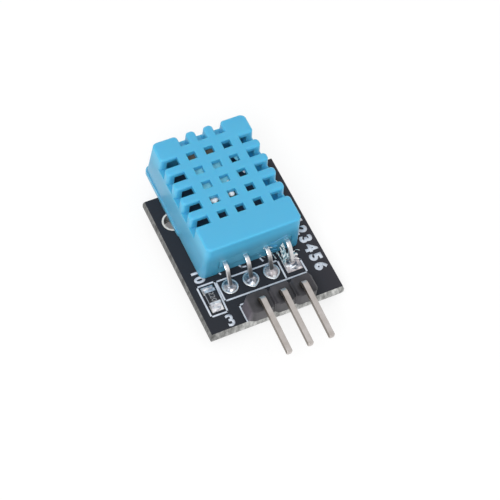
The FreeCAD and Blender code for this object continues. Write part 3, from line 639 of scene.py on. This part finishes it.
def add_flake(mesh):
    """A flat three-cornered flake of flux on the board."""
    flake = bmesh.ops.create_cone(mesh, cap_ends=True, segments=3, radius1=0.5 * MM, radius2=0.42 * MM,
                                  depth=0.12 * MM)["verts"]
    bmesh.ops.rotate(mesh, verts=flake, matrix=Matrix.Rotation(math.radians(20.0), 3, "Z"))
    bmesh.ops.translate(mesh, verts=flake, vec=at(4.68, 5.72, 0.16))


def flux_left():
    """Glassy flux beside the fourth lead, a flake of it on the board, the fine threads it drew, and darker
    blue threads on the cover's front wall.
    """
    mesh = bmesh.new()
    add_lumps(mesh, 0.2, [
        ((3.42, 6.30, 1.75), (0.5, 0.4, 0.9), 1.0, 0),
        ((3.40, 5.95, 1.15), (0.5, 0.5, 0.8), 2.0, 0),
        ((3.34, 5.55, 0.65), (0.45, 0.55, 0.8), 3.0, 0),
        ((3.25, 5.15, 0.35), (0.4, 0.6, 0.5), 4.0, 0),
        ((3.75, 5.40, 0.75), (0.35, 0.4, 1.0), 5.0, 0),
    ])
    add_flake(mesh)
    add_lumps(mesh, 0.08, [((2.95, 6.50, 0.35), (0.28, 0.2, 0.45), 7.0, 0)])
    # the groups stand in the order of the piece's finishes
    for look, threads in enumerate((GLASSY_THREADS, BRIGHT_THREADS, WALL_DARK_THREADS)):
        for points, start, end in threads:
            add_thread(mesh, points, start, end, look)
    return piece("flux", mesh, [FLUX, PAINTED_GLINT, WALL_DARK_BLUE])


def sensing_parts():
    """What shows through the grille: a pale plate over the humidity element, solder finished in plain white
    as a painted highlight, and dull wire beside it."""
    mesh = bmesh.new()
    add_block(mesh, (5.2, 4.7, 0.2), at(-0.8, 16.1, 4.9))
    add_lumps(mesh, 0.12, [
        ((-2.2, 12.75, 5.1), (0.85, 0.75, 0.5), 2.0, 1),
        ((-0.1, 12.9, 5.1), (0.75, 0.8, 0.5), 5.0, 1),
        ((0.35, 14.5, 5.15), (0.5, 0.3, 0.25), 7.0, 1),
        ((2.45, 17.15, 5.0), (0.4, 0.9, 0.4), 9.0, 0),
        ((2.5, 15.1, 4.95), (0.3, 0.45, 0.3), 4.0, 1),
        ((0.2, 19.2, 4.6), (1.3, 0.9, 0.2), 3.0, 2),
        ((-2.05, 19.2, 4.6), (1.3, 0.9, 0.2), 6.0, 2),
    ])
    return piece("sensing_parts", mesh, [FILM, PAINTED_GLINT, WIRE])


# Ground, light and camera

# how much of the floor's own shade the camera sees, and how much white shows in the mounting holes
SHADE_KEPT = 0.3
HOLE_WHITE = 0.04


def beyond_board(tree):
    """How far the floor lies outside the ground that the board covers, softly from 0 to 1."""
    axes = object_axes(tree)
    rim = 0.9 * MM
    beyond = []
    for axis, middle, half in (("X", 0.0, 7.0), ("Y", at(0, 9.5).y, 8.1)):
        away = maths(tree, "ABSOLUTE", maths(tree, "SUBTRACT", axes[axis], middle))
        past = maths(tree, "DIVIDE", maths(tree, "SUBTRACT", away, half * MM - rim), rim)
        beyond.append(maths(tree, "SMOOTH_MIN", 1.0, maths(tree, "MAXIMUM", 0.0, past), 0.2))
    return maths(tree, "MAXIMUM", *beyond)


def ground():
    """A pale floor that the camera sees as white, with a faint shadow of the object."""
    mesh = bmesh.new()
    bmesh.ops.create_grid(mesh, x_segments=1, y_segments=1, size=0.6)
    made = bpy.data.meshes.new("floor")
    mesh.to_mesh(made)
    mesh.free()
    floor = bpy.data.objects.new("floor", made)
    bpy.context.scene.collection.objects.link(floor)
    pale = bpy.data.materials.new("floor")
    pale.use_nodes = True
    tree = pale.node_tree
    surface = tree.nodes["Principled BSDF"]
    surface.inputs["Base Color"].default_value = linear(235, 235, 235)
    surface.inputs["Roughness"].default_value = 0.9
    surface.inputs["Specular IOR Level"].default_value = 0.0
    glow = node(tree, "ShaderNodeEmission", Color=grey(1.0), Strength=1.0 + SHADE_KEPT / 4)
    ray = tree.nodes.new("ShaderNodeLightPath").outputs
    seen = maths(tree, "ADD", maths(tree, "MULTIPLY", ray["Is Camera Ray"], 1.0 - SHADE_KEPT),
                 maths(tree, "ADD", ray["Is Glossy Ray"], ray["Is Transmission Ray"]))
    # below the board, where only the mounting holes show it, the floor keeps nearly all of its own shade
    white = maths(tree, "MULTIPLY", seen, maths(tree, "MAXIMUM", beyond_board(tree), HOLE_WHITE))
    mix = tree.nodes.new("ShaderNodeMixShader")
    tree.links.new(white, mix.inputs["Fac"])
    tree.links.new(surface.outputs["BSDF"], mix.inputs[1])
    tree.links.new(glow.outputs["Emission"], mix.inputs[2])
    tree.links.new(mix.outputs["Shader"], tree.nodes["Material Output"].inputs["Surface"])
    made.materials.append(pale)


def sky(strength):
    """Even white light from all round."""
    world = bpy.data.worlds.new("studio")
    world.use_nodes = True
    back = world.node_tree.nodes["Background"]
    back.inputs["Color"].default_value = grey(1.0)
    back.inputs["Strength"].default_value = strength
    bpy.context.scene.world = world


def lamp(name, place, aim, size, power):
    """A round soft lamp that points at a place."""
    data = bpy.data.lights.new(name, "AREA")
    data.shape = "DISK"
    data.size = size
    data.energy = power
    shown = bpy.data.objects.new(name, data)
    bpy.context.scene.collection.objects.link(shown)
    shown.location = place
    shown.rotation_euler = (aim - place).to_track_quat("-Z", "Y").to_euler()


def camera():
    """The photograph's own camera: its place, its turn and the length of its lens."""
    azimuth, elevation, roll = (math.radians(v) for v in (-32.48, 58.40, 8.59))
    distance, shift_right, shift_up = 176.4, -0.714, 0.528
    view_length, view_width, film = 1573.0, 500.0, 36.0
    back = Vector((math.sin(azimuth) * math.cos(elevation), -math.cos(azimuth) * math.cos(elevation),
                   math.sin(elevation)))
    level = Vector((math.cos(azimuth), math.sin(azimuth), 0.0))
    upright = back.cross(level)
    right = math.cos(roll) * level + math.sin(roll) * upright
    up = math.cos(roll) * upright - math.sin(roll) * level
    place = at(0, 9) + (distance * back - shift_right * right - shift_up * up) * MM
    data = bpy.data.cameras.new("camera")
    data.sensor_width = film
    data.lens = view_length / view_width * film
    data.clip_start = 0.01
    data.clip_end = 2.0
    shown = bpy.data.objects.new("camera", data)
    bpy.context.scene.collection.objects.link(shown)
    turn = Matrix((right, up, back)).transposed().to_4x4()
    shown.matrix_world = Matrix.Translation(place) @ turn
    bpy.context.scene.camera = shown


printed_lines()
printed_number("number_by_header", "3", at(-5.38, 0.9), 1.5, 0.0, 0.03)
printed_number("number_by_resistor", "10", at(-6.4, 7.12), 1.3, -90.0, 0.045, 1.15)
printed_number("numbers_at_side", "123456", at(6.9, 6.3), 1.55, -90.0, 0.055, 1.37)
printed_number("resistor_digits", "220", at(-6.11, 4.05, 0.55), 0.62, -90.0, 0.01, ink=MARK)
softened_cover()
softened_header()
for number in (1, 2, 3, 4):
    softened(f"lead_wire_{number}", f"sensor_lead_{number}", 0.08)
for number in (1, 2, 3):
    softened(f"pin_wire_{number}", f"header_pin_{number}", 0.05)
sensing_parts()
wet_joint(1, 1.3)
wet_joint(2, 4.1, tail=0.2, swell=0.12)
wet_joint(3, 7.7, tail=0.16, swell=0.2, look=DULL)
square_joint()
resistor_heaps()
seal_skin()
flux_left()

ground()
sky(0.72)
lamp("key", Vector((-0.18, -0.20, 0.36)), at(0, 9), 0.24, 1.0)
camera()
bpy.context.scene.view_settings.view_transform = "Standard"
